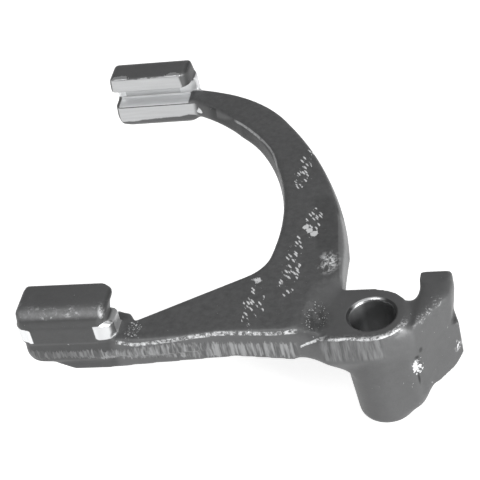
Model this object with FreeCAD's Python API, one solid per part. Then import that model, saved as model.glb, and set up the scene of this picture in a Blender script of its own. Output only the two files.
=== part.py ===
# Gearbox shift fork, one steel forging.
# Frame: the origin is on the rail bore's axis, at the hub's flat top face.
# +Z runs up along the bore, +X along the length of the two fork pads, away from their free ends,
# and +Y across the fork, from the rail towards the sleeve that the pads ride on.

import FreeCAD, Part
import math
import os
from collections import namedtuple
from FreeCAD import Vector

# Rail boss
rail_bore_diameter = 20.0
bore_chamfer = 1.0
hub_radius = 16.4
boss_length = 54.2
boss_end_radius = 13.2
boss_end_rounding = 4.2
hub_front_face = 15.7
hub_back_face = 17.0
hub_block_left = 19.0
hub_block_toe = 29.0
hub_block_toe_drop = 7.0
hub_block_depth = 14.0
hub_block_run_out = 7.0
hub_seat_radius = 24.0
hub_seat_slope = 6.0

# Sleeve that the fork moves: its axis is parallel to the rail
sleeve_x = -134.5
sleeve_y = 86.7

# Arms, a flat forging with its parting line part of the way down
arm_top = 3.0
arm_soft_edge = 1.0
parting_level = -4.0
parting_land = 1.5
arm_bottom = -9.5
arm_inner_radius = 77.5
arm_width = 16.7
arm_draft = 1.4
arm_lower_bevel = 4.5
ring_start_angle = 64.0
outer_ring_end_angle = 36.0
outer_ring_swell = 0.5
flank_radius = 230.0
flank_corner_y = 44.0
flank_face = -13.4
neck_x = -101.5
neck_inset = 2.45
neck_root_depth = 11.5
inner_ring_start_angle = 48.0
inner_ring_end_angle = 32.0
inner_neck_angle = 65.0
inner_neck_radius = 81.2
throat_radius = 130.0
throat_length = 92.0
throat_corner_radius = 19.0
throat_corner_end_angle = -59.5
root_x = -105.7
root_shelf_x = -109.0
root_shelf_inset = 1.0
root_reach = 7.0
front_edge = -10.9
front_bulge = -14.4
front_bulge_x = -101.0
front_straight_x = -66.0

# Pads, two channels that face each other across the sleeve
pad_gap = 160.2
front_pad_depth = 21.2
front_pad_left = -156.3
front_pad_right = -111.4
front_band_overhang = 1.0
rear_pad_depth = 18.6
rear_pad_left = -154.6
rear_pad_right = -110.6
rear_band_overhang = -0.8
pad_top = 19.0
pad_bottom = -11.4
pad_corner = 5.5
pad_foot_corner = 7.0
pad_inner_corner = 3.0
jaw_right_corner = 6.5
pad_edge_rounding = 6.8
pad_end_rounding = 4.0
pad_draft = 0.8
slot_floor = 2.0
slot_height = 8.6
slot_depth = 8.5
slot_floor_right = -115.0
upper_jaw_set_back = 1.3
jaw_edge_bevel = 2.8
band_corner = 6.0
band_recess = 0.9
band_wrap_left = 6.0
band_wrap_right = 9.0

# Front rib that carries the front arm into the boss
rib_front = 12.4
rib_back = 2.0
rib_toe_x = -143.0
rib_toe_length = 7.5
rib_toe_bottom = -15.2
rib_belly_x = -98.0
rib_belly_bottom = -13.6
rib_waist_x = -60.0
rib_waist_bottom = -11.0
rib_knee_x = -24.0
rib_knee_bottom = -15.4
rib_foot_x = -8.6
rib_foot_level = -27.4

# Ear beside the boss
ear_left = 18.4
ear_right = 32.0
ear_back = 28.0
ear_front = (20.9, -5.2)
ear_shoulder = (33.6, 14.0)
ear_depth = 40.0
ear_rounding = 1.6
ear_corner_bevel = 3.6
ear_draft = 2.8
ear_step_level = -18.0
ear_step = 3.1
web_top = -3.8
web_front = -9.0
web_back = 12.0
web_bottom = -41.0
web_run_out = 3.4

Pad = namedtuple("Pad", "left right depth overhang")


def around(centre, radius, angle):
    """Point on a circle in the plan, with the angle in degrees from +X."""
    turn = math.radians(angle)
    return centre + Vector(radius * math.cos(turn), radius * math.sin(turn), 0)


def line(start, end):
    return Part.LineSegment(start, end).toShape()


def circle_arc(centre, radius, start_angle, end_angle):
    middle = around(centre, radius, (start_angle + end_angle) / 2)
    start = around(centre, radius, start_angle)
    end = around(centre, radius, end_angle)
    return Part.Arc(start, middle, end).toShape()


def chain(points):
    return [line(start, end) for start, end in zip(points, points[1:])]


def polygon_face(points):
    return Part.Face(Part.makePolygon(points + points[:1]))


def at_level(wire, level):
    copy = wire.copy()
    copy.translate(Vector(0, 0, level))
    return copy


def loft(wires):
    return Part.makeLoft(wires, True, True)


def arm_outline(grow):
    """Outline of both arms in the plan, as one closed wire, set out by grow on every side."""
    sleeve = Vector(sleeve_x, sleeve_y, 0)
    outer_radius = arm_inner_radius + arm_width
    flank_centre = around(sleeve, outer_radius - flank_radius, outer_ring_end_angle)
    flank_reach = flank_radius + grow
    flank_turn = math.degrees(math.asin((flank_corner_y - flank_centre.y) / flank_reach))
    throat_centre = around(sleeve, arm_inner_radius - throat_radius, inner_ring_end_angle)
    throat_end_angle = inner_ring_end_angle - math.degrees(throat_length / throat_radius)
    corner_centre = around(throat_centre, throat_radius - throat_corner_radius, throat_end_angle)
    corner_radius = throat_corner_radius - grow
    throat_end = around(corner_centre, corner_radius, throat_corner_end_angle)
    root_slope = math.tan(math.radians(90 + throat_corner_end_angle))
    root = Vector(root_x, throat_end.y + (root_x - throat_end.x) * root_slope, 0)
    pad_inner = pad_gap / 2
    inside_pad = front_pad_right - root_reach
    front_corner_x = front_pad_right - jaw_edge_bevel
    front_jaw = sleeve_y - pad_inner + grow - arm_draft
    rear_jaw = sleeve_y + pad_inner - grow + arm_draft
    bulge = Vector(front_bulge_x, front_bulge - grow, 0)
    straight = Vector(front_straight_x, front_edge - grow, 0)
    bulge_middle = (bulge + straight) * 0.5 + Vector(0, -0.5, 0)
    ring_end = around(sleeve, arm_inner_radius - grow, inner_ring_start_angle)
    inner_neck = around(sleeve, inner_neck_radius - grow, inner_neck_angle)
    neck = Vector(neck_x, sleeve_y + outer_radius - arm_draft - neck_inset * 2 + grow, 0)
    ring_start = around(sleeve, outer_radius + grow, ring_start_angle)
    ring_middle_angle = (ring_start_angle + outer_ring_end_angle) / 2
    ring_middle = around(sleeve, outer_radius + outer_ring_swell + grow, ring_middle_angle)
    outer_ring_end = around(sleeve, outer_radius + grow, outer_ring_end_angle)
    edges = [
        Part.Arc(ring_start, ring_middle, outer_ring_end).toShape(),
        circle_arc(flank_centre, flank_reach, outer_ring_end_angle, flank_turn),
    ]
    edges += chain([
        around(flank_centre, flank_reach, flank_turn),
        Vector(flank_face - grow, 0, 0),
        Vector(-hub_radius, front_edge - grow, 0),
        straight,
    ])
    edges.append(Part.Arc(straight, bulge_middle, bulge).toShape())
    edges += chain([
        bulge,
        Vector(inside_pad, bulge.y + 1.0, 0),
        Vector(inside_pad, front_jaw, 0),
        Vector(front_corner_x, front_jaw, 0),
        Vector(root_shelf_x, front_jaw - root_shelf_inset, 0),
        root,
        throat_end,
    ])
    edges += [
        circle_arc(corner_centre, corner_radius, throat_corner_end_angle, throat_end_angle),
        circle_arc(throat_centre, throat_radius - grow, throat_end_angle, inner_ring_end_angle),
        circle_arc(sleeve, arm_inner_radius - grow, inner_ring_end_angle, inner_ring_start_angle),
    ]
    rear_root = Vector(rear_pad_right - jaw_edge_bevel, rear_jaw, 0)
    edges.append(Part.Arc(ring_end, inner_neck, rear_root).toShape())
    neck_root = rear_root + Vector(0, neck_root_depth + 2 * grow - arm_draft, 0)
    edges += chain([rear_root, neck_root, neck, ring_start])
    return Part.Wire(edges)


def arms():
    land_level = parting_level - parting_land
    soft_level = arm_top - arm_soft_edge
    top = arm_outline(-0.8 * arm_soft_edge)
    shoulder = arm_outline(0.2 * arm_soft_edge)
    parting = arm_outline(arm_draft)
    bottom = arm_outline(arm_draft - arm_lower_bevel)
    upper = loft([at_level(parting, parting_level), at_level(shoulder, soft_level)])
    soft = loft([at_level(shoulder, soft_level), at_level(top, arm_top)])
    land = loft([at_level(parting, land_level), at_level(parting, parting_level)])
    lower = loft([at_level(bottom, arm_bottom), at_level(parting, land_level)])
    return upper.fuse([soft, land, lower])


def rounded_block(left, right, near, far, corners, level):
    """Rectangle in the plan. Its corner radii are for near right, near left and both far corners."""
    near_right, near_left, far_corner = corners
    points = [
        (right - near_right, near + near_right, near_right, -90),
        (right - far_corner, far - far_corner, far_corner, 0),
        (left + far_corner, far - far_corner, far_corner, 90),
        (left + near_left, near + near_left, near_left, 180),
    ]
    edges = []
    for index, (x, y, radius, start) in enumerate(points):
        centre = Vector(x, y, level)
        edges.append(circle_arc(centre, radius, start, start + 90))
        next_x, next_y, next_radius, next_start = points[(index + 1) % 4]
        edge_start = around(centre, radius, start + 90)
        edge_end = around(Vector(next_x, next_y, level), next_radius, next_start)
        edges.append(line(edge_start, edge_end))
    return Part.Wire(edges)


def rounded_top(low, high, near_radius, far_radius, place):
    """Upright section with both top corners rounded. place turns a width and a height into a point."""
    level = slot_floor + slot_height

    def corner(middle, radius, towards):
        height = pad_top - radius
        turn = math.radians(45)
        side = place(middle + towards * radius, height)
        half = place(middle + towards * radius * math.cos(turn), height + radius * math.sin(turn))
        return side, half, place(middle, pad_top)

    near_side, near_half, near_top = corner(low + near_radius, near_radius, -1)
    far_side, far_half, far_top = corner(high - far_radius, far_radius, 1)
    edges = [
        line(place(low, level), near_side),
        Part.Arc(near_side, near_half, near_top).toShape(),
        line(near_top, far_top),
        Part.Arc(far_top, far_half, far_side).toShape(),
        line(far_side, place(high, level)),
        line(place(high, level), place(low, level)),
    ]
    return Part.Face(Part.Wire(edges))


def upper_jaw(pad):
    """Jaw above the slot, as long as the pad less its set-back, rounded over on its outer edges."""
    near = sleeve_y + pad_gap / 2
    far = near + pad.depth
    left = pad.left
    right = pad.right - upper_jaw_set_back
    corners = (jaw_right_corner, pad_inner_corner, pad_corner)
    base = rounded_block(left, right, near, far, corners, slot_floor + slot_height)
    top = rounded_block(left + pad_draft, right - pad_draft, near, far - pad_draft, corners, pad_top)
    section = rounded_top(near, far - pad_draft / 2, 1.0, pad_edge_rounding, lambda y, z: Vector(left, y, z))
    ends = rounded_top(left, right, pad_end_rounding, pad_end_rounding, lambda x, z: Vector(x, near, z))
    jaw = loft([base, top])
    return jaw.common(section.extrude(Vector(right - left, 0, 0))).common(ends.extrude(Vector(0, pad.depth, 0)))


def lower_jaw(pad):
    """Jaw below the slot, drafted to the parting line and bevelled under it."""
    near = sleeve_y + pad_gap / 2
    far = near + pad.depth
    land_level = parting_level - parting_land
    bevel_level = pad_bottom + jaw_edge_bevel
    corners = (pad_inner_corner, pad_inner_corner, pad_foot_corner)

    def ring(inset, near_inset, level):
        return rounded_block(
            pad.left + inset, pad.right - inset, near + near_inset, far - inset, corners, level)

    upper = loft([ring(0, 0, parting_level), ring(pad_draft / 2, 0, slot_floor)])
    land = loft([ring(0, 0, land_level), ring(0, 0, parting_level)])
    flank = loft([ring(pad_draft, 0, bevel_level), ring(0, 0, land_level)])
    foot = loft([ring(jaw_edge_bevel + pad_draft, jaw_edge_bevel, pad_bottom), ring(pad_draft, 0, bevel_level)])
    return upper.fuse([land, flank, foot])


def pad_web(pad):
    """Outer wall between the jaws, with a shallow recess round each of its ends."""
    wall = sleeve_y + pad_gap / 2 + slot_depth
    outer = sleeve_y + pad_gap / 2 + pad.depth
    left = pad.left - pad.overhang
    corners = (band_corner, band_corner, band_corner)
    whole = rounded_block(left, pad.right, wall - 2 * band_corner, outer, corners, slot_floor)
    kept = rounded_block(left, pad.right, wall - 2 * band_corner, outer - band_recess, corners, slot_floor)
    height = Vector(0, 0, slot_height)
    whole = Part.Face(whole).extrude(height)
    kept = Part.Face(kept).extrude(height)
    middle_start = Vector(left + band_wrap_left, wall, slot_floor)
    middle_length = pad.right - band_wrap_right - left - band_wrap_left
    middle = Part.makeBox(middle_length, 2 * pad.depth, slot_height, middle_start)
    wall_start = Vector(left - 1, wall, slot_floor)
    beyond_wall = Part.makeBox(pad.right - left + 2, 2 * pad.depth, slot_height, wall_start)
    return whole.common(middle).fuse(kept.common(beyond_wall))


def channel(pad):
    """One pad, set on the rear side of the sleeve."""
    return upper_jaw(pad).fuse([lower_jaw(pad), pad_web(pad)])


def slot(pad):
    """Room of a pad's slot and round its web, which the arm's root stays out of."""
    near = sleeve_y + pad_gap / 2
    wall = near + slot_depth
    left = pad.left - 2.0
    corner = Vector(left, near - 5.0, slot_floor)
    room = Part.makeBox(slot_floor_right - left, slot_depth + 5.0, slot_height, corner)
    beside = Part.makeBox(pad.right - left, 2 * pad.depth, slot_height, Vector(left, wall, slot_floor))
    return room.fuse(beside)


def across(shape):
    """The form carried over to the front pad, mirrored in the plane through the sleeve's axis."""
    return shape.mirror(Vector(sleeve_x, sleeve_y, 0), Vector(0, 1, 0))


def front_rib():
    """Deep rib along the front arm that runs down into the boss."""
    start = front_pad_right - root_reach
    top = parting_level
    corners = [
        (rib_toe_x, top),
        (rib_toe_x, pad_bottom),
        (rib_toe_x + rib_toe_length, rib_toe_bottom),
        (start, rib_toe_bottom),
        (rib_belly_x, rib_belly_bottom),
        (rib_waist_x, rib_waist_bottom),
        (rib_knee_x, rib_knee_bottom),
        (rib_foot_x, rib_foot_level),
        (0, rib_foot_level - 5.0),
        (0, top),
    ]
    points = [Vector(x, -rib_front, z) for x, z in corners]
    return polygon_face(points).extrude(Vector(0, rib_front + rib_back, 0))


def hub_block():
    """Block that joins the plate to the boss, flush with the hub's round face on both sides."""
    low = rib_foot_level
    run_out_level = -hub_block_depth - hub_block_run_out
    side = [
        Vector(0, 0, 0),
        Vector(-hub_block_left, 0, 0),
        Vector(-hub_block_toe, 0, -hub_block_toe_drop),
        Vector(-hub_block_toe, 0, rib_knee_bottom),
        Vector(rib_knee_x, 0, rib_knee_bottom),
        Vector(rib_foot_x, 0, rib_foot_level),
        Vector(0, 0, rib_foot_level),
    ]
    section = [
        Vector(0, -hub_front_face, 0),
        Vector(0, -hub_front_face, -hub_block_depth),
        Vector(0, -rib_front, run_out_level),
        Vector(0, -rib_front, low),
        Vector(0, hub_back_face - hub_block_run_out, low),
        Vector(0, hub_back_face - hub_block_run_out, run_out_level),
        Vector(0, hub_back_face, -hub_block_depth),
        Vector(0, hub_back_face, 0),
    ]
    plan = [
        Vector(0, -hub_front_face, 0),
        Vector(0, hub_back_face, 0),
        Vector(-hub_block_toe, hub_back_face, 0),
        Vector(-hub_block_toe, -rib_front, 0),
        Vector(-hub_block_left, -hub_front_face, 0),
    ]
    height = Vector(0, 0, -low)
    block = polygon_face([point - height for point in plan]).extrude(height)
    reach = Vector(0, hub_front_face + hub_back_face, 0)
    block = block.common(polygon_face([point - Vector(0, hub_front_face, 0) for point in side]).extrude(reach))
    return block.common(polygon_face(section).extrude(Vector(-hub_block_toe, 0, 0)))


def boss():
    cone = Part.makeCone(boss_end_radius, hub_radius, boss_length, Vector(0, 0, -boss_length))
    foot = [edge for edge in cone.Edges if edge.BoundBox.ZMax < 1 - boss_length and edge.Length > 50]
    return cone.makeFillet(boss_end_rounding, foot).fuse(hub_block())


def ear_plan(back_inset, shoulder_inset, back_left, level):
    """Plan of the ear at a level, with its outer side moved in at its back and at its shoulder."""
    points = [
        (ear_left, back_left),
        (ear_left, ear_back),
        (ear_right - back_inset, ear_back),
        (ear_shoulder[0] - shoulder_inset, ear_shoulder[1]),
        ear_front,
    ]
    return polygon_face([Vector(x, y, level) for x, y in points])


def ear_slab(corners):
    """Room from the boss's axis out to a side profile of width and height, as deep as the ear."""
    points = [Vector(x, ear_front[1] + web_front, z) for x, z in corners]
    return polygon_face(points).extrude(Vector(0, ear_back - ear_front[1] - web_front, 0))


def ear():
    """Upright ear beside the boss, rounded at its top and stepped out at its shoulder."""
    outer = ear_shoulder[0]
    drafted = ear_slab([(0, 0), (outer, 0), (outer - ear_draft, ear_step_level), (0, ear_step_level)])
    upper = ear_plan(0, 0, web_front, 0).extrude(Vector(0, 0, ear_step_level)).common(drafted)

    def rounded_over(edge):
        box = edge.BoundBox
        outer_top = box.ZMin > -0.01 and box.XMax > ear_front[0] + 1
        return outer_top or (box.ZLength > 1 and box.YMin > web_back + ear_rounding)

    upper = upper.makeFillet(ear_rounding, [edge for edge in upper.Edges if rounded_over(edge)])
    inset = ear_draft - ear_step
    side = outer - inset
    bevelled = ear_slab([
        (0, ear_step_level),
        (0, -ear_depth),
        (side - ear_corner_bevel, -ear_depth),
        (side, ear_corner_bevel - ear_depth),
        (side, ear_step_level),
    ])
    lower = ear_plan(ear_draft, inset, web_back, ear_step_level).extrude(Vector(0, 0, -ear_depth - ear_step_level))
    return upper.fuse(lower.common(bevelled))


def web_section(level, stand_off):
    """Plan of the web between boss and ear, its front tangent to the boss at that level."""
    radius = hub_radius + (boss_end_radius - hub_radius) * -level / boss_length
    corners = [
        Vector(ear_left, web_front, 0),
        Vector(ear_front[0], ear_front[1], 0),
        Vector(ear_left + 2.0, web_back, 0),
    ]
    if stand_off > 0:
        corners = [corner * ((radius + stand_off) / corner.Length) for corner in corners]
    first = corners[0]
    turn = math.degrees(math.atan2(first.y, first.x) - math.acos(radius / first.Length))
    tangent = around(Vector(0, 0, 0), radius - 0.1, turn)
    points = [tangent] + corners + [Vector(0, web_back, 0), Vector(0, 0, 0)]
    points = [point + Vector(0, 0, level) for point in points]
    return Part.makePolygon(points + points[:1])


def ear_web():
    """Web that starts below the hub's face and runs out on the boss below the ear."""
    full = loft([web_section(web_bottom, 0), web_section(web_top, 0)])
    run_out = loft([web_section(-boss_length + boss_end_rounding, web_run_out), web_section(web_bottom, 0)])
    return full.fuse(run_out)


def hub_seat():
    """Shallow round seat that brings the plate down to the hub's flat face."""
    height = 3 * arm_top
    slope = hub_seat_slope * height / arm_top
    return Part.makeCone(hub_seat_radius, hub_seat_radius + slope, height)


def bore():
    radius = rail_bore_diameter / 2
    reach = 2.0
    hole = Part.makeCylinder(radius, boss_length + 2 * reach, Vector(0, 0, -boss_length - reach))
    flare = radius + bore_chamfer
    top = Part.makeCone(radius, flare + reach, bore_chamfer + reach, Vector(0, 0, -bore_chamfer))
    bottom_level = -boss_length - reach
    bottom = Part.makeCone(flare + reach, radius, bore_chamfer + reach, Vector(0, 0, bottom_level))
    return hole.fuse([top, bottom])


def fork():
    front = Pad(front_pad_left, front_pad_right, front_pad_depth, front_band_overhang)
    rear = Pad(rear_pad_left, rear_pad_right, rear_pad_depth, rear_band_overhang)
    body = arms().cut([hub_seat(), slot(rear), across(slot(front))])
    body = body.fuse([channel(rear), across(channel(front)), front_rib(), boss(), ear(), ear_web()])
    return body.cut(bore()).removeSplitter()


if __name__ == "__main__":
    shape = fork()
    print(shape.isValid(), len(shape.Solids), shape.Volume, shape.BoundBox)
    os.makedirs("parts", exist_ok=True)
    shape.exportStep("parts/shift_fork.step")
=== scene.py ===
"""A forged gearbox shift fork on a pale bench: dark forging skin, bright machined pads and bore."""

import math

import bmesh
import bpy
import numpy as np
from mathutils import Matrix, Vector


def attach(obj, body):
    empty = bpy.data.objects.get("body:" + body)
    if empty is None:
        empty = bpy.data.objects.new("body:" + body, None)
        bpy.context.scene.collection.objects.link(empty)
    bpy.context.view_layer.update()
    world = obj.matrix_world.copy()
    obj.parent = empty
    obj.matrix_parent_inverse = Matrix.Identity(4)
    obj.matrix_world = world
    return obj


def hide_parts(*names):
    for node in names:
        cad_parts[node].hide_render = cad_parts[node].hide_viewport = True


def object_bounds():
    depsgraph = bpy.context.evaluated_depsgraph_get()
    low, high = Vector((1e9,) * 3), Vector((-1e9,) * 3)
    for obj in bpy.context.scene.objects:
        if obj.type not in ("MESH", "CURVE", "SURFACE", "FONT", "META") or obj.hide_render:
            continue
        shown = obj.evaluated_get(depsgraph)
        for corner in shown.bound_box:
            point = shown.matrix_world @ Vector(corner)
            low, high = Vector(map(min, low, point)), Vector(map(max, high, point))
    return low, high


MM = 0.001

# The photograph's viewpoint: where the camera stands, in degrees and millimetres, and its lens
VIEW_AZIMUTH = 18.903
VIEW_ELEVATION = 37.0
VIEW_ROLL = 14.469
VIEW_DISTANCE = 813.08
VIEW_RIGHT = -56.31
VIEW_UP = 31.62
LENS = 142.64
SENSOR_WIDTH = 36.0
NEAREST_SEEN = 0.01

# Lamps: azimuth and elevation in degrees, distance and size in metres, power in watts
LAMPS = {
    "side_lamp": (60.0, 13.0, 1.4, 0.55, 18.5),
    "high_lamp": (-18.0, 50.0, 1.3, 0.5, 3.5),
}
LAMP_TARGET = (-0.06, 0.06, -0.01)
SKY_LEVEL = 0.35

# The bench: half its width and its gap below the fork, in metres, its paint and its glow
BENCH_HALF = 3.0
BENCH_GAP = 0.0005
BENCH_PAINT = 0.9
BENCH_GLOW = 0.7

# The pads and the bore, in millimetres. The pads are alike on both sides of the sleeve's axis,
# so a jaw's face and a slot's wall are given by their distance from it
SLEEVE_Y = 86.7
JAW_FACE = 80.1
SLOT_WALL = 88.6
SLOT_FLOOR = 2.0
SLOT_TOP = 10.6
FLOOR_END = -115.0
PAD_RIGHT = -112.0
PAD_TOP = 19.0
RECESS_REACH = 14.0
RECESS_CORNER = 2.0
RIGHT_RECESS_X = -120.2
LEFT_RECESS_X = -149.1
BORE_RADIUS = 10.0
CHAMFER = 1.0

# The skin's grain in millimetres, and the rounds of softening that its parts get
SKIN_GRAIN = 0.8
SKIN_SOFTENING = 3
CUT_SOFTENING = 1
RUN_SOFTENING = 70
EDGE_SPREAD = 2

# Points of the CAD mesh that are this near to each other, in metres, are one
ONE_POINT = 1e-6

# Edges and hollows that the dies left well rounded: start, end and reach
ROUNDED_RUNS = (
    ((21.5, -5.0, -1.0), (33.0, 13.0, -1.0), 9.5),
    ((18.5, -9.5, -3.0), (19.0, 15.0, -2.0), 7.0),
    ((-22.0, 16.0, 1.5), (-27.0, 0.0, 1.5), 6.5),
    ((-27.0, 0.0, 1.5), (-30.0, -12.0, 0.0), 6.5),
    ((-31.0, -12.0, -4.0), (-20.0, -15.0, -4.0), 5.5),
    ((-30.0, -12.0, -12.0), (-9.0, -12.0, -25.0), 5.0),
    ((18.0, -7.0, -38.0), (13.0, -8.0, -48.0), 9.0),
)

# Groove between the hub and the ear: how far its floor comes up, and where
GROOVE_CENTRE = (18.0, 1.0, -3.0)
GROOVE_REACH = (8.0, 20.0, 14.0)
GROOVE_FLOOR = -3.8
GROOVE_FILLED = -1.7
GROOVE_FOOT = -9.0

# Right end of the front pad's upper jaw, whose rounding is made tighter
JAW_END_RADIUS = 4.0
JAW_END = -112.8

# How far that end leans in at its foot, and the spans over which the lean comes and goes
JAW_LEAN = 2.3
LEAN_COMES = (-119.0, -114.0)
LEAN_GOES = (-112.6, -111.7)

# Torn nick between the boss and the ear, and the depth that it bites in
NICK = (17.3, -9.8, -21.5)
NICK_REACH = 3.2
NICK_DEPTH = 1.3

# Brightness of the steel, from 0, black, to 1, white
FORGING_SCALE = 0.1
# Painted shade: in hollows and on the upper jaws' right ends
HOLLOW_SHADE = 0.055
# Convex edges, rubbed bare and lit by a painted highlight
RUBBED_AND_SHEEN = 0.26
# Painted highlight line along the rear arm's inner land
LAND_HIGHLIGHT = 0.5
FLANK = 0.17
# Painted shade where the plate runs up to the hub
VALLEY_SHADE = 0.05
SHEARED = 0.1
HUB_FRONT = 0.08
# Bare lines with a painted highlight along the front edge and the hub's rim
BARE_AND_HIGHLIGHT_LINE = 0.75
# Painted highlight speckles on the hub's rolled edge
ROLLED_RIM_HIGHLIGHT = 0.34
# Bare scuffs with a painted highlight along the ear's top edge
EAR_EDGE_SCUFF_AND_HIGHLIGHT = 0.6
# Chips bared on the ear, and a painted highlight at the front jaw's tip
CHIPS_AND_TIP_HIGHLIGHT = 0.85
# Painted highlight along the upper jaws' top roundings, and painted glint flecks on it
JAW_ROUNDING_HIGHLIGHT = 0.25
FLECKED_HIGHLIGHT = 0.6
# Painted glints of rough spots on the skin
FLECK_GLINT = 0.8
SCRATCH = 1.0
SMEAR = 0.95
TORN = 0.9
# Painted shade in the pits round the nick
PIT_SHADE = 0.02
MILLED = 0.42
RECESS = 0.68
RECESS_DARKEST = 0.16
# Painted shade on the bore's chamfer
CHAMFER_SHADE = 0.08
BORE_WALL = 0.34
STEEL_TINT = 0.01

# Gloss of the forging scale and of cut steel, and the relief's depth in millimetres
SCALE_ROUGHNESS = 0.48
CUT_ROUGHNESS = 0.34
SCALE_METALLIC = 0.4
CUT_METALLIC = 0.9
RELIEF = 0.12

# Boxes that a finish is kept to: their spans, and the width over which it eases off outside them
PLATE_TOP_BOX = {"x": (-112.0, -17.0), "z": (2.2, 4.0), "soft": 0.6}
EAR_BOX = {"x": (19.0, 40.0), "z": (-60.0, -2.0), "soft": 2.0}
HUB_FRONT_BOX = {"x": (-20.0, 4.5), "z": (-11.0, -0.5), "soft": 2.5}
BORE_GLEAM_BOX = {"x": (-8.6, -6.6), "soft": 2.6}
FRONT_RECESS_BOX = {"x": (RIGHT_RECESS_X, -111.3), "soft": 0.2}
REAR_RECESS_BOX = {"x": (RIGHT_RECESS_X, -108.5), "soft": 0.3}

# From front to back, where a finish that only the rear arm and pad have comes in
REAR_SIDE = (90.0, 100.0)

# Lines on the forging, by stops: heights at places from left to right, then edges of the plate
# at places from front to back
JAW_FOOT = ((-150, -7.2), (-135, -6.5), (-113, -5.5))
RIM_HEIGHT = ((-31, -6.6), (-28, -4.8), (-25, -3.5), (-22, -2.0), (-18, -0.6), (-10, -0.4))
TRIM_TOP = ((-152, -2.2), (-112, -2.9), (-100, -0.8), (-86, -0.6), (-60, -3.2), (-34, -4.4))
TRIM_FOOT = ((-150, -6.6), (-135, -5.8), (-112, -9.2), (-90, -9.8), (-60, -10.4), (-36, -12.4))
FRONT_EDGE_HEIGHT = (
    (-111, 1.3), (-104, 0.3), (-92, 0.9), (-76, 1.7), (-60, 1.6), (-43, 0.8), (-34, 1.0))
INNER_EDGE = (
    (95, -57.0), (103, -57.9), (111, -59.7), (117, -62.0), (122, -64.6), (128, -68.5),
    (134, -73.0), (140, -78.2), (145, -83.2), (150, -88.4), (158, -99.0))
FLANK_EDGE = ((18, -16.2), (24, -16.9), (42, -19.8), (62, -22.6), (75, -25.5), (90, -27.0))

# Patches of a finish: centre, reach along each axis, and strength where that isn't 1
# Patch of painted shade where the plate runs up to the hub
VALLEY_SHADE_PATCH = ((-24.0, -3.0, 1.0), (9.0, 13.0, 8.0))
# Painted highlight speckles on the hub's rolled edge
ROLLED_PATCH = ((12.0, -9.0, 0.0), (10.0, 10.0, 6.0))
EAR_CHIPS = ((33.2, 10.5, -30.0), (3.0, 4.0, 4.5))
# Painted highlight at the front jaw's tip
JAW_TIP_HIGHLIGHT = ((-115.6, -10.2, 16.4), (1.7, 4.4, 4.0))
BRUSHED_PATCH = ((-23.0, 32.5, 3.0), (6.5, 10.0, 3.0))
TORN_PATCH = ((17.6, -9.4, -22.8), (4.8, 4.8, 6.4))
WORN_TOP_PATCHES = (
    ((-148.0, 167.6, PAD_TOP), (7.5, 3.6, 3.0)),
    ((-119.5, 167.4, PAD_TOP), (6.5, 3.2, 3.0)),
    ((-132.0, 166.0, PAD_TOP), (22.0, 1.8, 3.0)),
)
EAR_EDGE_PATCHES = (
    ((21.5, -3.0, -1.0), (3.0, 4.0, 3.5)),
    ((24.5, 1.6, -0.6), (3.4, 4.0, 3.0)),
    ((28.0, 6.8, -0.6), (3.0, 5.0, 3.0)),
)
# Where painted glints are thickest
FLECKED_PATCHES = (
    ((-24.0, -2.0, 1.0), (12.0, 22.0, 9.0)),
    ((-105.0, -8.0, 2.5), (8.0, 11.0, 5.0), 1.3),
    ((-36.0, 30.0, 3.0), (26.0, 70.0, 6.0), 0.4),
)
SCRATCHED_PATCHES = (
    ((-44.5, 103.0, 3.0), (4.4, 22.0, 3.0)),
    ((-34.0, 63.0, 3.0), (4.6, 14.0, 3.0)),
    ((-39.5, 30.0, 3.0), (5.4, 25.0, 3.0)),
    ((-52.5, 4.0, 3.0), (5.6, 19.0, 3.0)),
)
SMEARED_PATCHES = (
    ((-37.2, 58.4, 3.0), (2.2, 2.8, 3.0)),
    ((-35.2, 56.0, 3.0), (2.5, 3.0, 3.0)),
    ((-32.6, 53.4, 3.0), (2.9, 3.2, 3.0)),
    ((-53.5, 22.0, 3.0), (3.6, 3.4, 3.0), 0.8),
    ((-109.6, 165.0, -2.4), (3.4, 2.6, 2.2)),
)
# Painted shade in the pits round the nick
PIT_SHADOWS = (
    ((16.7, -9.8, -20.6), (1.7, 1.7, 2.4)),
    ((19.8, -7.1, -15.2), (1.7, 1.7, 1.9)),
    ((18.2, -9.4, -17.6), (1.8, 1.8, 1.4)),
    ((17.2, -9.2, -29.5), (0.8, 0.8, 5.0)),
)

# Short scratches: the way they run, in degrees, their spacing in millimetres and their slenderness
SCRATCH_ANGLE = -35.0
SCRATCH_SPACING = 1.25
SCRATCH_STRETCH = (1.0, 0.25, 1.0)


def direction(azimuth, elevation):
    """Unit vector towards a compass direction round the part, 0 being the front."""
    a = math.radians(azimuth)
    e = math.radians(elevation)
    return Vector((math.sin(a) * math.cos(e), -math.cos(a) * math.cos(e), math.sin(e)))


def smooth_step(low, high, value):
    """0 at low, 1 at high, smooth between them."""
    t = np.clip((value - low) / (high - low), 0, 1)
    return t * t * (3 - 2 * t)


def cut_amount(points):
    """How far each point (in millimetres) belongs to a cut face, from 0 on forged skin to 1."""
    x, y, z = points.T
    across = np.abs(y - SLEEVE_Y)
    beside_pad = 1 - smooth_step(PAD_RIGHT, PAD_RIGHT + 1.5, x)
    slot = beside_pad * (across < SLOT_WALL + RECESS_REACH)
    slot *= smooth_step(SLOT_FLOOR - 1, SLOT_FLOOR, z)
    slot *= 1 - smooth_step(SLOT_TOP, SLOT_TOP + 1, z)
    jaw = beside_pad * (1 - smooth_step(JAW_FACE + 0.6, JAW_FACE + 1.6, across))
    bore = 1 - smooth_step(BORE_RADIUS + 1.2, BORE_RADIUS + 2.2, np.hypot(x, y))
    return np.clip(np.maximum(np.maximum(slot, jaw), bore), 0, 1)


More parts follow.
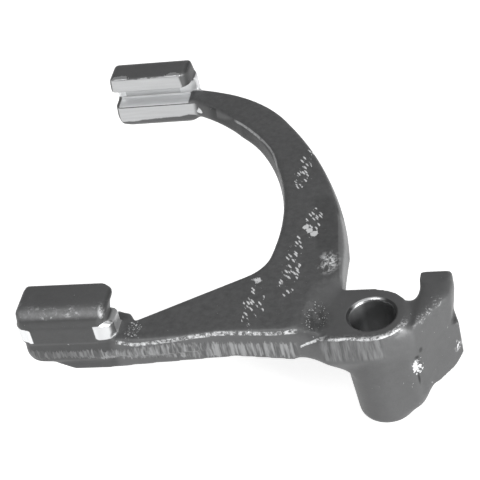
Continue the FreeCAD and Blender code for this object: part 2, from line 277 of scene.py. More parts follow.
def gather(values, edges, size):
    """Sum over each point's edges of the value at the edge's other end, column by column."""
    sums = []
    for column in values.T:
        total = np.bincount(edges[:, 0], column[edges[:, 1]], size)
        sums.append(total + np.bincount(edges[:, 1], column[edges[:, 0]], size))
    return np.stack(sums, axis=1)


def soften(points, edges, amount, rounds):
    """Moves each point towards the mean of its neighbours, by its own amount, some rounds over."""
    size = len(points)
    count = np.bincount(edges.ravel(), minlength=size)[:, None]
    for _ in range(rounds):
        points = points + (gather(points, edges, size) / count - points) * amount
    return points


def near_run(points, start, end, reach):
    """1 near the line from start to end, easing to 0 at the reach."""
    start = np.array(start)
    run = np.array(end) - start
    along = np.clip((points - start) @ run / (run @ run), 0, 1)
    distance = np.linalg.norm(points - start - along[:, None] * run, axis=1)
    return 1 - smooth_step(0.45 * reach, reach, distance)


def rounded_amount(points):
    """How far each point belongs to an edge or hollow that the dies left well rounded."""
    amounts = [near_run(points, *run) for run in ROUNDED_RUNS]
    return np.max(amounts, axis=0)


def fill_groove(points):
    """Brings up the groove's floor between hub and ear. Upright walls only slide along themselves."""
    offset = (points - np.array(GROOVE_CENTRE)) / np.array(GROOVE_REACH)
    inside = 1 - smooth_step(0.7, 1.0, np.linalg.norm(offset, axis=1))
    before = (GROOVE_FOOT, GROOVE_FLOOR, 0.0)
    after = (GROOVE_FOOT, GROOVE_FILLED, 0.0)
    level = np.interp(points[:, 2], before, after)
    points = points.copy()
    points[:, 2] += (level - points[:, 2]) * inside
    return points


def in_front_pad(y):
    """Whether a place is as far forward as the front pad, its jaw's face among it."""
    return SLEEVE_Y - y > JAW_FACE - 1


def square_jaw_end(points):
    """Tightens the rounding at the right end of the front pad's upper jaw."""
    points = points.copy()
    right = points[:, 0] - (JAW_END - JAW_END_RADIUS)
    up = points[:, 2] - (PAD_TOP - JAW_END_RADIUS)
    corner = (right > 0) & (up > 0) & in_front_pad(points[:, 1])
    radius = np.hypot(right, up)[corner] + 1e-9
    turn = np.stack((right[corner], up[corner]), axis=1) / radius[:, None]
    wider = (turn ** 4).sum(axis=1) ** -0.25
    points[corner, 0] += right[corner] * (wider - 1)
    points[corner, 2] += up[corner] * (wider - 1)
    return points


def lean_jaw_end(points):
    """Lets the right end of the front pad's upper jaw lean in towards its foot."""
    x, y, z = points.T
    end = smooth_step(*LEAN_COMES, x) * (1 - smooth_step(*LEAN_GOES, x))
    foot = 1 - smooth_step(SLOT_TOP + 1.5, PAD_TOP - 1.5, z)
    foot = foot * smooth_step(SLOT_TOP - 0.4, SLOT_TOP, z)
    points = points.copy()
    points[:, 0] -= JAW_LEAN * end * foot * in_front_pad(y)
    return points


def read_points(mesh):
    """Vertex places in millimetres, and the edges as pairs of vertices."""
    place = np.empty(len(mesh.vertices) * 3)
    mesh.vertices.foreach_get("co", place)
    edges = np.empty(len(mesh.edges) * 2, dtype=np.int32)
    mesh.edges.foreach_get("vertices", edges)
    return place.reshape(-1, 3) / MM, edges.reshape(-1, 2)


def write_points(mesh, place):
    """Puts the vertices at places given in millimetres."""
    mesh.vertices.foreach_set("co", (place * MM).ravel())
    mesh.update()


def vertex_normals(mesh):
    """The way that the skin faces at each vertex."""
    normals = np.empty(len(mesh.vertices) * 3)
    mesh.vertex_normals.foreach_get("vector", normals)
    return normals.reshape(-1, 3)


def bite(place, normals):
    """Presses the torn nick into the skin."""
    distance = np.linalg.norm(place - np.array(NICK), axis=1)
    depth = NICK_DEPTH * (1 - smooth_step(0.2 * NICK_REACH, NICK_REACH, distance))
    return place - normals * depth[:, None]


def edge_turn(mesh):
    """How sharply the skin turns at each point: above 0 on an edge, below 0 in a hollow."""
    place, edges = read_points(mesh)
    normals = vertex_normals(mesh)
    run = place[edges[:, 1]] - place[edges[:, 0]]
    change = normals[edges[:, 1]] - normals[edges[:, 0]]
    bend = (change * run).sum(axis=1) / (run * run).sum(axis=1)
    size = len(place)
    total = np.bincount(edges[:, 0], bend, size) + np.bincount(edges[:, 1], bend, size)
    count = np.bincount(edges.ravel(), minlength=size)
    return soften((total / count)[:, None], edges, 0.6, EDGE_SPREAD)[:, 0]


def merged_copy(mesh):
    """A copy of a CAD node's mesh, whose loose triangles are joined at their points."""
    mesh = mesh.copy()
    shape = bmesh.new()
    shape.from_mesh(mesh)
    bmesh.ops.remove_doubles(shape, verts=shape.verts, dist=ONE_POINT)
    shape.to_mesh(mesh)
    shape.free()
    return mesh


def even_skin(node):
    """A new piece in the node's place, whose faces are all of about one size."""
    piece = bpy.data.objects.new("forging_skin", merged_copy(node.data))
    bpy.context.scene.collection.objects.link(piece)
    piece.matrix_world = node.matrix_world.copy()
    remesh = piece.modifiers.new("skin", "REMESH")
    remesh.mode = "VOXEL"
    remesh.voxel_size = SKIN_GRAIN * MM
    graph = bpy.context.evaluated_depsgraph_get()
    mesh = bpy.data.meshes.new_from_object(piece.evaluated_get(graph))
    piece.modifiers.clear()
    piece.data = mesh
    return piece


def worked(place, edges):
    """The skin's points once its forged edges are soft, its cut ones crisp and its ends dressed."""
    cut = cut_amount(place)[:, None]
    place = soften(place, edges, 0.5 * (1 - cut), SKIN_SOFTENING)
    place = soften(place, edges, 0.5, CUT_SOFTENING)
    place = lean_jaw_end(square_jaw_end(fill_groove(place)))
    rounded = rounded_amount(place)[:, None] * (1 - cut)
    return soften(place, edges, 0.5 * rounded, RUN_SOFTENING)


def forging_skin(node):
    """The fork as one closed skin that stands for the CAD node."""
    piece = even_skin(node)
    mesh = piece.data
    place = worked(*read_points(mesh))
    write_points(mesh, place)
    write_points(mesh, bite(place, vertex_normals(mesh)))
    mesh.shade_smooth()
    turn = mesh.attributes.new("edge_turn", "FLOAT", "POINT")
    turn.data.foreach_set("value", edge_turn(mesh))
    return piece


class Amount:
    """A number that varies over a surface, written with Python's own operators."""

    def __init__(self, finish, socket):
        self.finish = finish
        self.socket = socket

    def math(self, operation, *others):
        return self.finish.math(operation, self, *others)

    def __add__(self, other):
        return self.math("ADD", other)

    def __radd__(self, other):
        return self.math("ADD", other)

    def __sub__(self, other):
        return self.math("SUBTRACT", other)

    def __rsub__(self, other):
        return self.finish.math("SUBTRACT", other, self)

    def __mul__(self, other):
        return self.math("MULTIPLY", other)

    def __rmul__(self, other):
        return self.math("MULTIPLY", other)

    def __neg__(self):
        return 0.0 - self

    def __abs__(self):
        return self.math("ABSOLUTE")

    def least(self, other):
        return self.math("MINIMUM", other)

    def most(self, other):
        return self.math("MAXIMUM", other)

    def root(self):
        return self.math("SQRT")

    def ramp(self, low, high):
        """0 at low, 1 at high, smooth between them. low may be the greater."""
        span = {"Value": self, "From Min": low, "From Max": high}
        return self.finish.amount("ShaderNodeMapRange", {"interpolation_type": "SMOOTHSTEP"}, span)

    def within(self, low, high, soft):
        """1 from low to high, easing to 0 over the soft width outside them."""
        return self.ramp(low - soft, low) * self.ramp(high + soft, high)

    def along(self, stops):
        """A value that follows straight runs between the stops, each a place and its value."""
        total = stops[0][1]
        for (start, first), (end, second) in zip(stops, stops[1:]):
            run = {"Value": self, "From Min": start, "From Max": end, "To Max": second - first}
            total = self.finish.amount("ShaderNodeMapRange", {}, run) + total
        return total

    def towards(self, target, amount):
        """This value, drawn to the target by an amount from 0 to 1."""
        return self + (target - self) * amount

    def lessened(self, where, share):
        """This value, with the share of it taken off where the mask is 1."""
        return self * (1 - where * share)


class Finish:
    """A material in the making."""

    def __init__(self, name):
        self.material = bpy.data.materials.new(name)
        self.material.use_nodes = True
        self.tree = self.material.node_tree
        self.tree.nodes.clear()

    def node(self, kind, settings=None, inputs=None):
        """A new node. Its settings come first, then the values or links of its sockets."""
        made = self.tree.nodes.new(kind)
        for name, value in (settings or {}).items():
            setattr(made, name, value)
        for name, value in (inputs or {}).items():
            self.join(made.inputs[name], value)
        return made

    def join(self, socket, value):
        """Links a socket to what varies over the surface, or sets it to a plain value."""
        if isinstance(value, Amount):
            value = value.socket
        if isinstance(value, bpy.types.NodeSocket):
            self.tree.links.new(value, socket)
        else:
            socket.default_value = value

    def amount(self, kind, settings, inputs, output=0):
        return Amount(self, self.node(kind, settings, inputs).outputs[output])

    def math(self, operation, *values):
        return self.amount("ShaderNodeMath", {"operation": operation}, dict(enumerate(values)))

    def vector(self, operation, inputs, output=0):
        return self.node("ShaderNodeVectorMath", {"operation": operation}, inputs).outputs[output]

    def attribute(self, name):
        return self.amount("ShaderNodeAttribute", {"attribute_name": name}, {}, "Fac")

    def split(self, vector):
        parts = self.node("ShaderNodeSeparateXYZ", {}, {0: vector})
        return [Amount(self, socket) for socket in parts.outputs]

    def mix(self, amount, first, second):
        """Colour between first and second."""
        inputs = {"Factor": amount, 6: first, 7: second}
        return self.node("ShaderNodeMix", {"data_type": "RGBA"}, inputs).outputs[2]

    def show(self, shader):
        """Makes a shader the material's surface."""
        self.node("ShaderNodeOutputMaterial", {}, {"Surface": shader.outputs[0]})

    def metal(self, colour, roughness, metallic, height):
        relief = {"Height": height, "Distance": RELIEF * MM, "Strength": 1.0}
        bump = self.node("ShaderNodeBump", {}, relief)
        self.show(self.node("ShaderNodeBsdfPrincipled", {}, {
            "Base Color": colour, "Roughness": roughness, "Metallic": metallic,
            "Normal": bump.outputs[0]}))


def grey(level, tint=0.0):
    """A grey colour, drawn towards blue by its tint."""
    return (level * (1 - tint), level, level * (1 + tint), 1.0)


class Spot:
    """Where a shader point is on the part, in millimetres, and the noises that finishes share."""

    def __init__(self, finish):
        self.finish = finish
        here = finish.node("ShaderNodeTexCoord").outputs["Object"]
        self.place = finish.vector("SCALE", {0: here, "Scale": 1 / MM})
        self.x, self.y, self.z = finish.split(self.place)
        self.across = abs(self.y - SLEEVE_Y)
        self.from_axis = (self.x * self.x + self.y * self.y).root()
        self.turn = finish.attribute("edge_turn")
        self.mottle = self.noise(3.2, 4.0, 0.6)
        self.grain = self.noise(0.8, 4.0, 0.65)
        self.streak = self.noise(1.5, 3.0, 0.6, (1.0, 1.0, 0.1))
        self.broken = self.noise(1.7, 4.0, 0.75)
        self.speckle = self.noise(0.9, 3.0, 0.7)

    def stretched(self, place, stretch):
        if stretch is None:
            return place
        return self.finish.vector("MULTIPLY", {0: place, 1: stretch})

    def noise(self, size, detail, roughness=0.55, stretch=None):
        """Even noise from 0 to 1 whose grains are about size millimetres across."""
        return self.finish.amount("ShaderNodeTexNoise", {"noise_dimensions": "3D"}, {
            "Vector": self.stretched(self.place, stretch), "Scale": 1.0 / size,
            "Detail": detail, "Roughness": roughness})

    def turned(self, angle):
        """The place turned in the plan, by an angle in degrees."""
        inputs = {"Vector": self.place, "Rotation": (0.0, 0.0, math.radians(angle))}
        return self.finish.node("ShaderNodeMapping", {"vector_type": "POINT"}, inputs).outputs[0]

    def specks(self, angle, size, share, stretch):
        """Ragged specks in turned rows, one to a cell of the size, in the given share of cells."""
        place = self.turned(angle)
        ragged = self.finish.node(
            "ShaderNodeTexNoise", {"noise_dimensions": "3D"},
            {"Vector": place, "Scale": 1.6, "Detail": 2.0}).outputs["Color"]
        shift = self.finish.vector("SCALE", {0: ragged, "Scale": 0.9})
        moved = self.finish.vector("ADD", {0: place, 1: shift})
        cells = self.finish.node("ShaderNodeTexVoronoi", {}, {
            "Vector": self.stretched(moved, stretch), "Scale": 1.0 / size}).outputs
        near = Amount(self.finish, cells["Distance"]).ramp(0.42, 0.22)
        chance = self.finish.split(cells["Color"])[0]
        return near * (share - chance).ramp(0.0, 0.03)

    def near(self, centre, reach, strength=1.0):
        """The strength at the centre of an ellipsoid, easing to 0 at its reach."""
        offset = self.finish.vector("SUBTRACT", {0: self.place, 1: centre})
        scaled = self.stretched(offset, tuple(1.0 / size for size in reach))
        length = Amount(self.finish, self.finish.vector("LENGTH", {0: scaled}, "Value"))
        amount = length.ramp(1.0, 0.25)
        return amount if strength == 1.0 else amount * strength

    def near_any(self, patches):
        """The most that any one of the patches has here."""
        most = self.near(*patches[0])
        for patch in patches[1:]:
            most = most.most(self.near(*patch))
        return most

    def block(self, x, soft, z=None):
        """1 inside a span of x, and of z if one is given, easing to 0 over the soft width."""
        inside = self.x.within(*x, soft)
        return inside if z is None else inside * self.z.within(*z, soft)


def milled_slots(spot):
    """The slots, as far as the cutter went."""
    at_pad = spot.x.ramp(FLOOR_END + 0.4, FLOOR_END - 0.4)
    beyond_jaw = spot.across.within(JAW_FACE - 1.0, SLOT_WALL, 0.4)
    height = spot.z.within(SLOT_FLOOR - 0.2, SLOT_TOP + 0.2, 0.3)
    return at_pad * beyond_jaw * height * spot.x.ramp(-152.4, -151.8)


def jaw_faces(spot):
    """The jaws' faces: the lower ones down to a wavy foot, the upper ones up to a worn line."""
    face = spot.across.ramp(JAW_FACE + 0.7, JAW_FACE + 0.3)
    foot = spot.x.along(JAW_FOOT) + (spot.noise(5.0, 3.0) - 0.5) * 2.0
    lower = spot.x.ramp(-110.0, -113.5) * (spot.z - foot).ramp(-0.3, 0.3) * spot.z.ramp(1.2, 0.9)
    worn_line = spot.noise(7.0, 2.0) * 2.4 + 17.0
    right_end = spot.y.ramp(*REAR_SIDE) * 0.9 - 113.9
    upper = (right_end - spot.x).ramp(-1.0, 0.8) * spot.z.ramp(10.2, 10.5)
    return face * lower.most(upper * (worn_line - spot.z).ramp(-0.4, 0.4))


def worn_top(spot):
    """Bright worn patches on the rear pad's top, along its jaw."""
    ragged = (spot.noise(3.0, 4.0, 0.7) - 0.5) * 2.2
    return (spot.near_any(WORN_TOP_PATCHES) + ragged).ramp(0.44, 0.52)


def cut_faces(spot):
    """Steel that a cutter has bared, and what has worn as bright."""
    return milled_slots(spot).most(jaw_faces(spot)).most(worn_top(spot))


def rounded_corner(first, first_edge, second, second_edge):
    """1 inside two edges, with the corner between them rounded."""
    along = (first_edge + RECESS_CORNER - first).most(0.0)
    up = (second_edge + RECESS_CORNER - second).most(0.0)
    from_centre = (along * along + up * up).root()
    return from_centre.ramp(RECESS_CORNER + 0.2, RECESS_CORNER - 0.2)


def web_ends(spot):
    """Recesses round the ends of the pads' webs, cut bright."""
    height = spot.z.within(SLOT_FLOOR + 1.0, SLOT_TOP + 0.1, 0.35)
    outside = spot.across.ramp(SLOT_WALL - 0.5, SLOT_WALL)
    front = spot.block(**FRONT_RECESS_BOX)
    front = front * rounded_corner(spot.x, RIGHT_RECESS_X, spot.z, SLOT_FLOOR + 0.7)
    rear = spot.block(**REAR_RECESS_BOX) * spot.y.ramp(*REAR_SIDE)
    left = spot.x.ramp(LEFT_RECESS_X - 0.2, LEFT_RECESS_X - 0.7)
    left = left * rounded_corner(-spot.x, -LEFT_RECESS_X, -spot.z, -SLOT_TOP + 0.2)
    return height * outside * front.most(rear).most(left)


def slot_floor(spot):
    """The slots' floors, behind the lower jaws' faces."""
    beyond_jaw = spot.across.ramp(JAW_FACE - 1.0, JAW_FACE)
    return beyond_jaw * (spot.z - SLOT_FLOOR).within(-0.5, 0.35, 0.3)


def chamfer_ring(spot):
    """The bore's chamfer, and the bore inside it."""
    outer = BORE_RADIUS + CHAMFER
    return spot.from_axis.ramp(outer + 0.35, outer + 0.1)


def rim_line(spot):
    """Torn bright line along the front of the hub's rim, bare in places and a painted highlight along
    it, which runs on down the block beside it.
    """
    out = spot.from_axis.towards(-spot.y, spot.x.ramp(2.0, -3.0))
    front = out.ramp(11.4, 12.4).least(out.ramp(14.2, 15.0).most(spot.x.ramp(-17.0, -21.0)))
    height = (spot.z - spot.x.along(RIM_HEIGHT)).within(-0.45, 0.4, 0.35)
    return front * height * spot.x.within(-30.0, 15.5, 1.0) * spot.y.ramp(-3.0, -8.0)


def trim_band(spot):
    """Strip along the front wall where the flash was sheared off."""
    front = spot.y.ramp(-10.5, -11.5) * spot.x.ramp(-31.0, -33.5)
    ragged = (spot.noise(1.1, 4.0, 0.75, (1.0, 1.0, 0.12)) - 0.5) * 8.0
    under_top = (spot.x.along(TRIM_TOP) + ragged - spot.z).ramp(-0.4, 0.4)
    over_foot = (spot.z - spot.x.along(TRIM_FOOT) + ragged).ramp(-0.4, 0.4)
    return front * under_top * over_foot


def edge_line(spot):
    """Line along the front wall's upper edge, rubbed bare in places and a painted highlight along it.
    """
    front = spot.y.ramp(-9.0, -10.5) * spot.x.within(-111.0, -32.0, 1.5)
    height = (spot.z - spot.x.along(FRONT_EDGE_HEIGHT)).within(-0.5, 0.5, 0.6)
    return front * height * spot.broken.ramp(0.4, 0.62)


def forging_scale(spot):
    """Mottled dark scale, darker on the ear, the boss and the front pad, with painted shade in
    hollows and convex edges rubbed bare and lit by a painted highlight.
    """
    clouds = spot.noise(22.0, 3.0, 0.5)
    contrast = spot.block(**PLATE_TOP_BOX) * 0.07 + 0.03
    level = FORGING_SCALE + clouds * 0.036 + spot.grain * 0.024 + (spot.mottle - 0.5) * contrast
    boss = spot.from_axis.ramp(19.0, 17.0) * spot.z.ramp(-12.0, -18.0)
    level = level.lessened(spot.block(**EAR_BOX), 0.22).lessened(boss, 0.1)
    pad_front = spot.x.ramp(-112.0, -116.0) * spot.y.ramp(-9.0, -12.0)
    level = level.lessened(pad_front, 0.4)
    # Painted shade in the hollows, where the skin turns inward
    level = level.towards(HOLLOW_SHADE, (-spot.turn).ramp(0.08, 0.5) * 0.5)
    # Convex edges lighter: rubbed bare and a painted highlight
    rub_and_sheen = spot.turn.ramp(0.12, 0.42) * spot.broken.ramp(0.42, 0.66)
    return level.towards(RUBBED_AND_SHEEN, rub_and_sheen * 0.55 * (1 - pad_front * 0.9))


def inner_wall(spot, level):
    """Inner wall of the rear arm darkened with painted shade, below a painted highlight line along
    the land at its top.
    """
    edge = spot.y.along(INNER_EDGE)
    rear_arm = spot.y.ramp(92.0, 100.0) * spot.x.ramp(-106.0, -100.0)
    wall = (edge - spot.x).ramp(-0.6, 0.2) * rear_arm * spot.z.ramp(2.4, 1.6)
    # Painted shade on the inner wall
    level = level.lessened(wall, 0.6)
    # Painted highlight line along the land
    land = (spot.x - edge).within(-0.25, 0.25, 0.35) * rear_arm
    land = land * spot.z.ramp(0.5, 1.5) * spot.y.ramp(150.0, 147.0)
    return level.towards(LAND_HIGHLIGHT, land * spot.broken.ramp(0.32, 0.48) * spot.y.ramp(98.0, 116.0))


def right_flank(spot, level):
    """Bright strip down the plate's right flank, with darker steel behind and beside it."""
    past = spot.x - spot.y.along(FLANK_EDGE)
    outside = past.ramp(-0.2, 0.2)
    strip = outside * past.ramp(4.2, 3.2) * spot.y.within(24.0, 65.0, 4.0)
    level = level.towards(FLANK + spot.streak * 0.08, strip * 0.9)
    level = level.lessened(outside * spot.y.within(70.0, 100.0, 5.0), 0.3)
    beside = past.within(-9.0, -1.0, 2.0) * spot.y.within(44.0, 78.0, 5.0)
    return level.lessened(beside, 0.2)


def shaded_valley(spot, level):
    """Painted shade in patches where the plate runs up to the hub."""
    patchy = spot.noise(6.0, 3.0, 0.6).ramp(0.4, 0.56)
    return level.towards(VALLEY_SHADE, spot.near(*VALLEY_SHADE_PATCH) * patchy * 0.75)


def front_wall(spot, level, trim, line):
    """The sheared band, the streaked front of the hub and the upper edge's line, rubbed bare and a
    painted highlight.
    """
    sheared = SHEARED + spot.streak.ramp(0.36, 0.66) * 0.24
    level = level.towards(sheared, trim * (0.95 - spot.x.ramp(-118.0, -138.0) * 0.5))
    hub = spot.block(**HUB_FRONT_BOX) * spot.y.ramp(-12.0, -14.0)
    level = level.towards(HUB_FRONT + spot.streak.ramp(0.3, 0.7) * 0.17, hub * 0.8)
    # The upper edge's line: rubbed bare and a painted highlight
    return level.towards(BARE_AND_HIGHLIGHT_LINE, line)


def hub_rim(spot, level):
    """The hub's torn rim, bare in places and a painted highlight, and painted highlight speckles on
    its rolled edge towards the ear.
    """
    # The rim line: bare in places and a painted highlight
    torn = spot.broken.ramp(0.4 + spot.x.ramp(4.0, 10.0) * 0.08, 0.56)
    level = level.towards(BARE_AND_HIGHLIGHT_LINE, rim_line(spot) * torn)
    # Painted highlight speckles on the rolled edge
    rolled = spot.from_axis.within(14.4, 16.6, 0.6) * spot.z.ramp(-2.6, -1.4)
    rolled = rolled * spot.near(*ROLLED_PATCH) * spot.speckle.ramp(0.46, 0.62)
    return level.towards(ROLLED_RIM_HIGHLIGHT, rolled)


def ear_scuffs_and_highlight(spot, level):
    """Bare scuffs and a painted highlight along the ear's top edge, and chips at its right side."""
    # Bare scuffs along the ear's top edge, with a painted highlight
    edge = spot.near_any(EAR_EDGE_PATCHES) * spot.speckle.ramp(0.5, 0.6)
    level = level.towards(EAR_EDGE_SCUFF_AND_HIGHLIGHT, edge * spot.broken.ramp(0.4, 0.6))
    return level.towards(CHIPS_AND_TIP_HIGHLIGHT, spot.near(*EAR_CHIPS) * spot.broken.ramp(0.5, 0.58))


def upper_jaws(spot, level):
    """Painted highlights along the upper jaws' outer top roundings, patchy and flecked, their right
    ends in painted shade, and a painted highlight at the front jaw's tip.
    """
    # Painted highlight along the outer top roundings
    rounding = spot.z.ramp(14.6, 16.6) * spot.z.ramp(19.1, 18.2)
    rounding = rounding * spot.across.ramp(JAW_FACE + 10.0, JAW_FACE + 14.0)
    level = level.towards(JAW_ROUNDING_HIGHLIGHT, rounding * (0.6 + spot.broken.ramp(0.4, 0.7) * 0.4))
    # Painted glint flecks on that highlight
    highlight_flecks = spot.noise(2.2, 5.0, 0.8).ramp(0.53, 0.58) * spot.noise(8.0, 2.0).ramp(0.44, 0.56)
    level = level.towards(FLECKED_HIGHLIGHT, rounding * highlight_flecks * 0.8)
    # Painted shade on the upper jaws' right ends
    right_end = spot.x.ramp(-115.4, -113.4) * spot.z.ramp(10.4, 11.0)
    level = level.towards(HOLLOW_SHADE, right_end * 0.9)
    # Painted highlight at the front jaw's tip
    return level.towards(CHIPS_AND_TIP_HIGHLIGHT, spot.near(*JAW_TIP_HIGHLIGHT) * spot.broken.ramp(0.42, 0.52))


def flecks(spot, level):
    """Small bright flecks, painted glints of rough spots, thickest to the left of the hub."""
    fleck = spot.noise(0.9, 3.0, 0.6) + spot.near_any(FLECKED_PATCHES) * 0.215
    return level.towards(FLECK_GLINT, fleck.ramp(0.84, 0.87))


def scratches(spot, level):
    """Short bright scratches on the tops of the plate and the rear arm."""
    share = (spot.near_any(SCRATCHED_PATCHES) * 2.4).least(0.94)
    marks = spot.specks(SCRATCH_ANGLE, SCRATCH_SPACING, share, SCRATCH_STRETCH)
    return level.towards(SCRATCH, marks)


def smears(spot, level):
    """Bare smears beside the scratches and at the foot of the rear pad."""
    brushed = spot.noise(4.0, 3.0, 0.6, (1.0, 0.5, 1.0)).ramp(0.42, 0.56)
    smear = spot.near(*BRUSHED_PATCH) * spot.broken.ramp(0.42, 0.54) * brushed
    ragged = spot.near_any(SMEARED_PATCHES) + (spot.broken - 0.5) * 2.4
    return level.towards(SMEAR, smear.most(ragged.ramp(0.5, 0.65)))


def torn_nick(spot, level):
    """Bare torn metal at the nick between the boss and the ear, with painted shade in the pits round
    it.
    """
    torn = (spot.noise(1.8, 3.0, 0.7) - 0.62) * 3.2
    level = level.towards(TORN, (spot.near(*TORN_PATCH) + torn).ramp(0.42, 0.5))
    # Painted shade in the pits round the nick
    return level.towards(PIT_SHADE, spot.near_any(PIT_SHADOWS) * 0.85)


def milled_steel(spot, floor):
    """Brightness of a cut face, with the cutter's marks along it, a painted highlight along the top
    of the slots' walls and a painted reflection on their floors.
    """
    marks = spot.noise(1.2, 2.0, 0.5, (0.06, 1.0, 1.0))
    wall = spot.across.ramp(SLOT_WALL - 0.7, SLOT_WALL - 0.3) * spot.z.within(7.4, SLOT_TOP, 1.2)
    # The slot wall's top gets a painted highlight, the floor a painted reflection
    return MILLED + marks * 0.14 + spot.grain * 0.05 + wall * 0.3 + floor * 0.42


def recess_steel(spot):
    """Brightness of the recesses: more at the left, with painted shade on the front pad's corner and
    end, which turn away from the light.
    """
    left = spot.x.ramp(-140.0, -150.0)
    lean = spot.x + (5.5 - spot.z).most(0.0) * 0.6
    # Painted shade on the front pad's corner and end face
    corner = spot.y.within(-12.3, -10.2, 0.8) * lean.ramp(-114.0, -112.6)
    end_face = spot.y.within(-9.4, 40.0, 1.2)
    return (RECESS + left * 0.2 - corner * 0.5 - end_face * 0.26).most(RECESS_DARKEST)


def bore_steel(spot, level, chamfer):
    """A chamfer in painted shade with a painted highlight crescent at its back, and a grey bore with
    a painted gleam at its left.
    """
    bore = spot.from_axis.ramp(BORE_RADIUS + 0.3, BORE_RADIUS + 0.1)
    bore = bore.most(chamfer * spot.z.ramp(-1.2, -1.6))
    # Painted highlight crescent at the chamfer's back, over painted shade on the rest of it
    crescent = spot.y.ramp(4.0, 8.5) * spot.x.ramp(6.0, 0.0) * spot.z.ramp(-0.9, -0.6)
    level = level.towards(CHAMFER_SHADE + crescent * 0.75, chamfer)
    # Painted gleam on the bore's left
    gleam = spot.block(**BORE_GLEAM_BOX) * spot.y.ramp(-2.0, 3.0)
    return level.towards(BORE_WALL + gleam * 0.3, bore)


def fork_finish():
    """Forging scale, wear, painted shade and painted highlights, and cut steel, each in its own place
    on the one skin.
    """
    finish = Finish("forged_and_machined_steel")
    spot = Spot(finish)
    trim = trim_band(spot)
    line = edge_line(spot)
    cut = cut_faces(spot)
    ends = web_ends(spot)
    floor = slot_floor(spot)
    chamfer = chamfer_ring(spot)

    level = forging_scale(spot)
    level = inner_wall(spot, level)
    level = right_flank(spot, level)
    level = shaded_valley(spot, level)
    level = front_wall(spot, level, trim, line)
    level = hub_rim(spot, level)
    level = ear_scuffs_and_highlight(spot, level)
    level = upper_jaws(spot, level)
    level = flecks(spot, level)
    level = scratches(spot, level)
    level = smears(spot, level)
    level = torn_nick(spot, level)
    level = level.towards(milled_steel(spot, floor), cut)
    level = level.towards(recess_steel(spot), ends)
    level = bore_steel(spot, level, chamfer)

    polished = cut.most(ends * 0.6).most(chamfer)
    smoother = polished * (SCALE_ROUGHNESS - CUT_ROUGHNESS)
    roughness = SCALE_ROUGHNESS - smoother + (spot.grain - 0.5) * 0.12
    metallic = SCALE_METALLIC + polished * (CUT_METALLIC - SCALE_METALLIC) - floor * 0.3
    height = spot.grain * 0.6 + spot.mottle * 0.2 + spot.streak * trim * 1.2 + line
    colour = finish.mix(level, grey(0.0), grey(1.0, STEEL_TINT))
    finish.metal(colour, roughness, metallic, height.lessened(polished, 0.85))
    return finish.material


def bench_finish():
    """Pale bench that the camera and the steel's reflections see as white."""
    finish = Finish("pale_bench")
    diffuse = finish.node("ShaderNodeBsdfDiffuse", {}, {"Color": grey(BENCH_PAINT)})
    rays = finish.node("ShaderNodeLightPath").outputs
    seen = Amount(finish, rays["Is Camera Ray"])
    seen = seen.most(Amount(finish, rays["Is Glossy Ray"]))
    seen = seen.most(Amount(finish, rays["Is Transmission Ray"]))
    glow = finish.node("ShaderNodeEmission", {}, {"Color": grey(1.0), "Strength": BENCH_GLOW})
    nothing = finish.node("ShaderNodeEmission", {}, {"Color": grey(1.0), "Strength": 0.0})
    shown = finish.node(
        "ShaderNodeMixShader", {}, {0: seen, 1: nothing.outputs[0], 2: glow.outputs[0]})
    finish.show(finish.node(
        "ShaderNodeAddShader", {}, {0: diffuse.outputs[0], 1: shown.outputs[0]}))
    return finish.material


def bench(level):
    """A wide flat bench at the given height."""
    mesh = bpy.data.meshes.new("bench")
    half = BENCH_HALF
    corners = [(-half, -half, level), (half, -half, level), (half, half, level), (-half, half, level)]
    mesh.from_pydata(corners, [], [(0, 1, 2, 3)])
    piece = bpy.data.objects.new("bench", mesh)
    piece.data.materials.append(bench_finish())
    bpy.context.scene.collection.objects.link(piece)


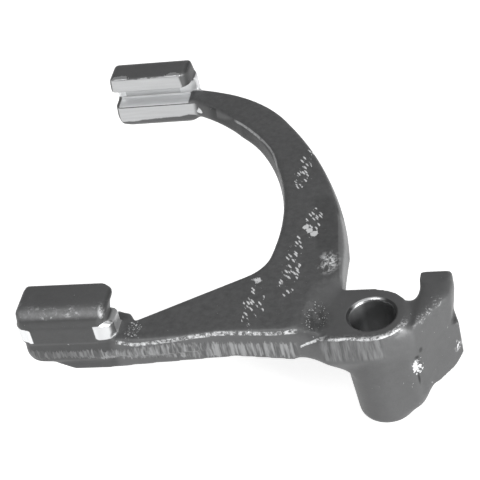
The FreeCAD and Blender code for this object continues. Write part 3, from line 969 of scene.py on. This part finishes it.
def lamp(name, azimuth, elevation, distance, size, power):
    """A round soft lamp, aimed at the middle of the fork."""
    light = bpy.data.lights.new(name, "AREA")
    light.shape = "DISK"
    light.size = size
    light.energy = power
    piece = bpy.data.objects.new(name, light)
    towards = direction(azimuth, elevation)
    piece.location = Vector(LAMP_TARGET) + towards * distance
    piece.rotation_euler = towards.to_track_quat("Z", "Y").to_euler()
    bpy.context.scene.collection.objects.link(piece)


def surroundings(level):
    """Plain white light from all round."""
    world = bpy.data.worlds.new("studio")
    bpy.context.scene.world = world
    world.use_nodes = True
    back = world.node_tree.nodes["Background"]
    back.inputs["Color"].default_value = (1.0, 1.0, 1.0, 1.0)
    back.inputs["Strength"].default_value = level


def camera():
    """A camera at the photograph's viewpoint, rolled as the photograph is."""
    back = direction(VIEW_AZIMUTH, VIEW_ELEVATION)
    a = math.radians(VIEW_AZIMUTH)
    level_right = Vector((math.cos(a), math.sin(a), 0))
    level_up = back.cross(level_right)
    roll = math.radians(VIEW_ROLL)
    right = level_right * math.cos(roll) - level_up * math.sin(roll)
    up = level_right * math.sin(roll) + level_up * math.cos(roll)
    data = bpy.data.cameras.new("camera")
    data.lens = LENS
    data.sensor_width = SENSOR_WIDTH
    data.clip_start = NEAREST_SEEN
    piece = bpy.data.objects.new("camera", data)
    turn = Matrix((right, up, back)).transposed().to_4x4()
    stand = (right * VIEW_RIGHT + up * VIEW_UP + back * VIEW_DISTANCE) * MM
    piece.matrix_world = Matrix.Translation(stand) @ turn
    bpy.context.scene.collection.objects.link(piece)
    bpy.context.scene.camera = piece


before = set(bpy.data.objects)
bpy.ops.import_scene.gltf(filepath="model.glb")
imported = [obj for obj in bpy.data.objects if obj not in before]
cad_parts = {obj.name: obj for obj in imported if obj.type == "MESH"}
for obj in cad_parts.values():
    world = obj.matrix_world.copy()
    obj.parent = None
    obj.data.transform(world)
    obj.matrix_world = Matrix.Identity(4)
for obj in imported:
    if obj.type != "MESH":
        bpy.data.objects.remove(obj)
model_box = [list(corner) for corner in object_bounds()]
steel = fork_finish()
skin = forging_skin(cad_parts["shift_fork"])
skin.data.materials.clear()
skin.data.materials.append(steel)
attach(skin, "root")
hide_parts("shift_fork")

bench(model_box[0][2] - BENCH_GAP)
for lamp_name, settings in LAMPS.items():
    lamp(lamp_name, *settings)
surroundings(SKY_LEVEL)
camera()
bpy.context.scene.view_settings.view_transform = "Standard"
